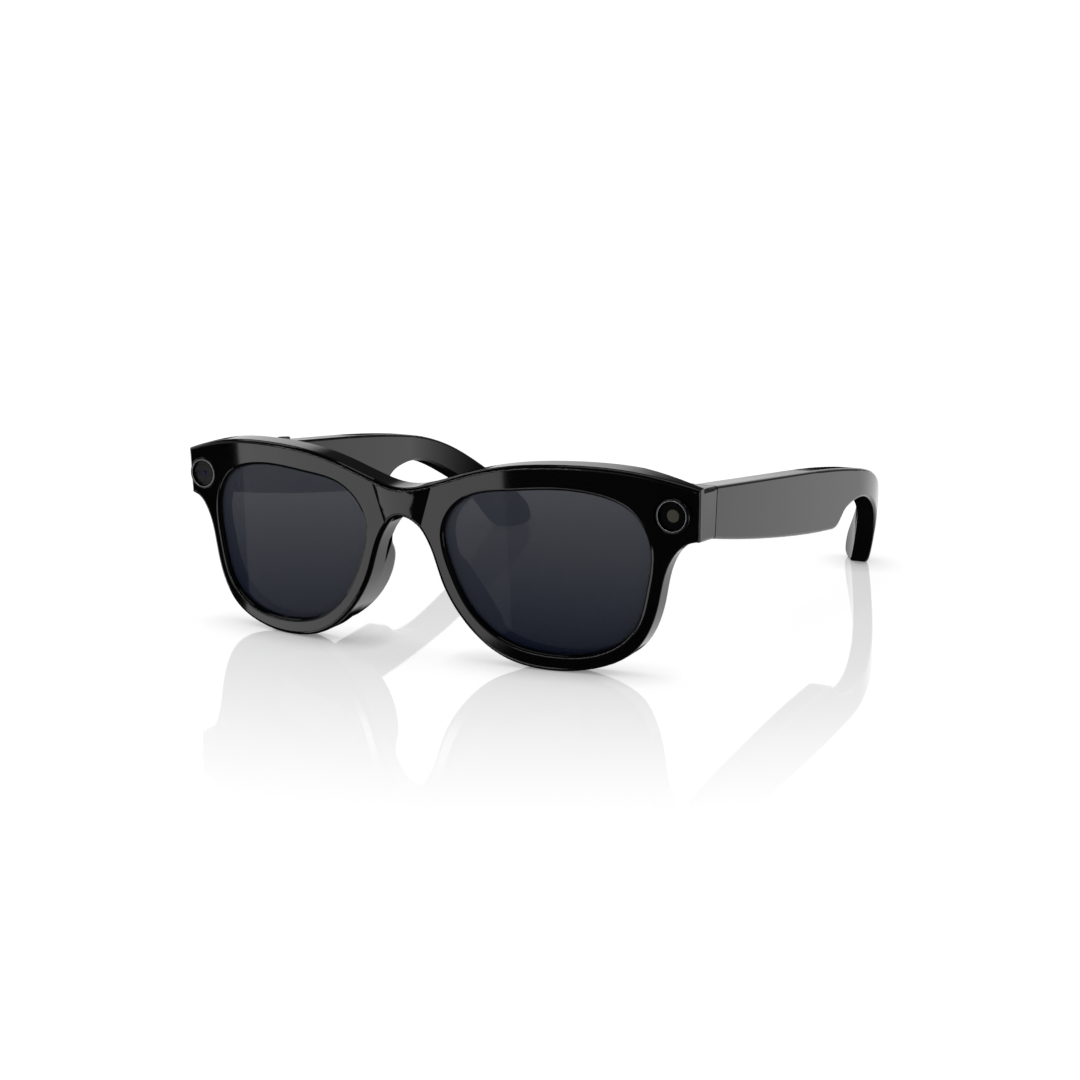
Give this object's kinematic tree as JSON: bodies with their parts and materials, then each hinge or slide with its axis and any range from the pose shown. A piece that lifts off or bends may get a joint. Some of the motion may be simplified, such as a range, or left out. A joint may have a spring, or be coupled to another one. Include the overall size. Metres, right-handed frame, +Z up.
{
  "type": "smart glasses",
  "caption": "Thick-rimmed smart glasses with dark lenses, a camera and a light in the end pieces, and folding temples that hold the electronics.",
  "frame": {"origin": "centre of the bounding box's bottom face, on the table that the open glasses stand on", "axes": "+X to the wearer's left, -Y straight ahead of the wearer, +Z up"},
  "size_m": [0.156, 0.173, 0.0507],
  "materials": {
    "frame_plastic": "polished black moulding",
    "pad_plastic": "polished black moulding",
    "bezel_plastic": "polished black ring",
    "button_plastic": "polished black",
    "slider_plastic": "fine matte",
    "plate_plastic": "fine matte",
    "lens_tint": "dark blue-grey gradient tint",
    "window_glass": "clear cover over a black bore",
    "camera_glass": "coated lens element",
    "light_cover": "polished black",
    "barrel_black": "matt black",
    "diffuser": "frosted",
    "emitter": "frosted",
    "hinge_steel": "brushed",
    "screw_steel": "turned",
    "core_steel": "brushed",
    "battery_pouch": "satin foil",
    "board_green": "solder mask",
    "flex_film": "polyimide film",
    "copper_film": "bare copper film",
    "speaker_case": "matte",
    "speaker_grille": "fine black mesh",
    "microphone_case": "plated can",
    "switch_case": "matte",
    "contact_gold": "gold plated",
    "magnet_nickel": "nickel plated"
  },
  "bodies": {
    "front": {"front_frame": "frame_plastic", "brow_cover": "frame_plastic", "brow_flex_cable": "flex_film", "lens_left": "lens_tint", "lens_right": "lens_tint", "nose_pad_left": "pad_plastic", "nose_pad_right": "pad_plastic", "camera_bezel": "bezel_plastic", "camera_window": "window_glass", "camera_barrel": "barrel_black", "camera_lens": "camera_glass", "camera_board": "board_green", "light_bezel": "bezel_plastic", "light_window": "light_cover", "light_diffuser": "diffuser", "light_emitter": "emitter", "light_board": "board_green", "hinge_leaf_front_left": "hinge_steel", "hinge_screw_left": "screw_steel", "hinge_leaf_front_right": "hinge_steel", "hinge_screw_right": "screw_steel"},
    "temple_left": {"temple_outer_left": "frame_plastic", "temple_inner_left": "frame_plastic", "hinge_leaf_temple_left": "hinge_steel", "temple_screws_left": "screw_steel", "battery_left": "battery_pouch", "circuit_board_left": "board_green", "speaker_left": "speaker_case", "speaker_mesh_left": "speaker_grille", "microphone_left": "microphone_case", "tip_core_left": "core_steel", "slide_switch": "switch_case", "antenna": "copper_film"},
    "temple_right": {"temple_outer_right": "frame_plastic", "temple_inner_right": "frame_plastic", "hinge_leaf_temple_right": "hinge_steel", "temple_screws_right": "screw_steel", "battery_right": "battery_pouch", "circuit_board_right": "board_green", "speaker_right": "speaker_case", "speaker_mesh_right": "speaker_grille", "microphone_right": "microphone_case", "tip_core_right": "core_steel", "tact_switch": "switch_case", "touch_sensor": "flex_film", "charging_plate": "plate_plastic", "charging_contacts": "contact_gold", "dock_magnet": "magnet_nickel"},
    "capture_button": {"capture_button": "button_plastic"},
    "power_slider": {"power_slider": "slider_plastic"}
  },
  "joints": [
    {"name": "temple_left_fold", "type": "hinge", "parent": "front", "child": "temple_left", "pos_m": [0.0672, -0.0648, 0.039], "axis": [0, 0, 1], "range_deg": [0, 92]},
    {"name": "temple_right_fold", "type": "hinge", "parent": "front", "child": "temple_right", "pos_m": [-0.0672, -0.0648, 0.039], "axis": [0, 0, -1], "range_deg": [0, 74]},
    {"name": "capture_button_press", "type": "slide", "parent": "temple_right", "child": "capture_button", "axis": [0, -0.0767, -0.9971], "range_m": [0, 0.00035], "stiffness_N_per_m": 1500, "springref_m": -0.0002},
    {"name": "power_slider_travel", "type": "slide", "parent": "temple_left", "child": "power_slider", "axis": [0.0403, 0.9962, -0.0767], "range_m": [0, 0.002]}
  ]
}
